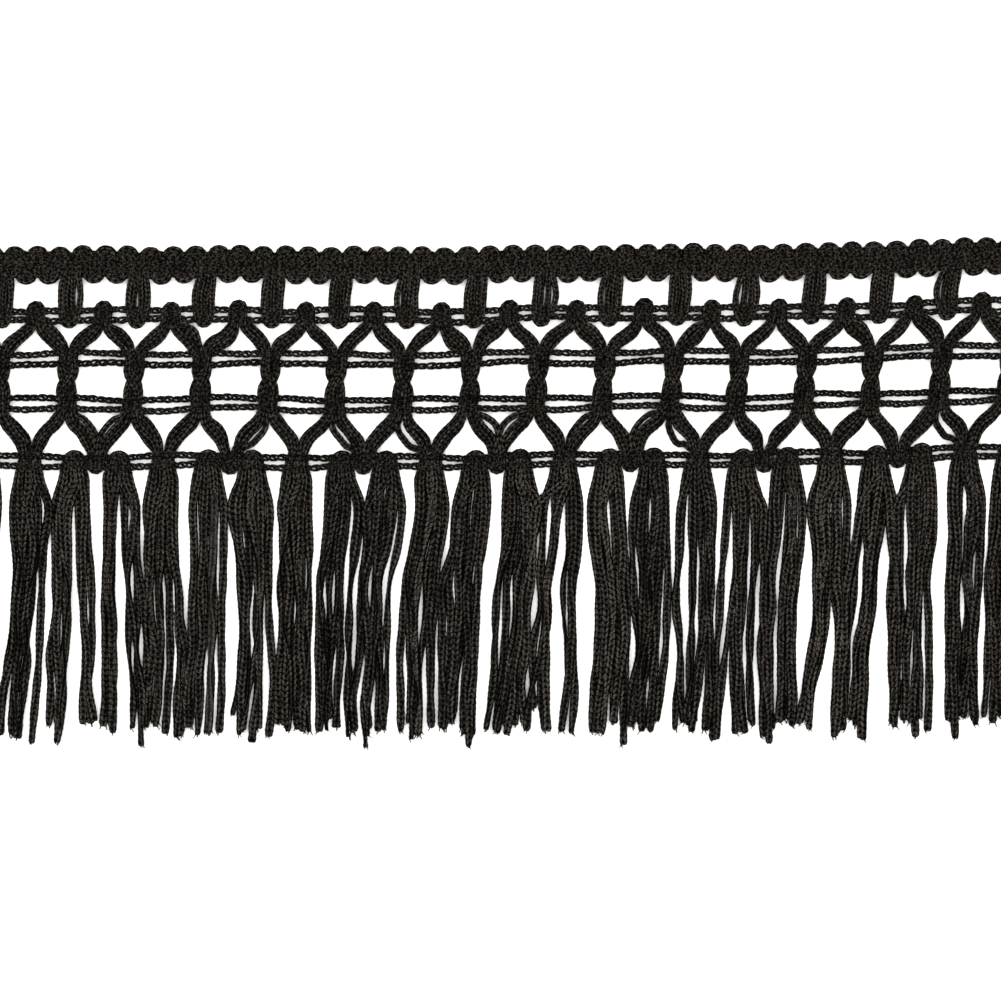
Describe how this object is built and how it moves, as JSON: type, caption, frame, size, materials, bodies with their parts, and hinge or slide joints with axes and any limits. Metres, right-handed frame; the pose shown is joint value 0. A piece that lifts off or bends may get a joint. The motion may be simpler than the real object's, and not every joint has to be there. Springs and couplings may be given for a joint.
{
  "type": "chainette fringe trim",
  "caption": "Cut length of flat chainette fringe trim: scalloped braid heading, open lattice of chain cords and crossing yarn, and a row of cut tassels.",
  "frame": {"origin": "middle of the heading braid's flat back, where the trim is sewn on", "axes": "+X along the trim, +Y from the fringe towards the heading, +Z out of the face side; the trim lies on z = 0"},
  "size_m": [0.227, 0.1029, 0.0026],
  "materials": {
    "braid_yarn": "black knitted braid with a soft lustre",
    "net_yarn": "black chain cords and knitted chainette yarn",
    "fringe_yarn": "black silky chainette with a herringbone of small stitches"
  },
  "bodies": {
    "root": {"heading_braid": "braid_yarn", "lattice_net": "net_yarn", "tassel_01": "fringe_yarn", "tassel_02": "fringe_yarn", "tassel_03": "fringe_yarn", "tassel_04": "fringe_yarn", "tassel_05": "fringe_yarn", "tassel_06": "fringe_yarn", "tassel_07": "fringe_yarn", "tassel_08": "fringe_yarn", "tassel_09": "fringe_yarn", "tassel_10": "fringe_yarn", "tassel_11": "fringe_yarn", "tassel_12": "fringe_yarn", "tassel_13": "fringe_yarn", "tassel_14": "fringe_yarn", "tassel_15": "fringe_yarn", "tassel_16": "fringe_yarn", "tassel_17": "fringe_yarn", "tassel_18": "fringe_yarn", "tassel_19": "fringe_yarn", "tassel_20": "fringe_yarn", "tassel_21": "fringe_yarn", "tassel_22": "fringe_yarn", "tassel_23": "fringe_yarn", "tassel_24": "fringe_yarn"}
  },
  "joints": []
}
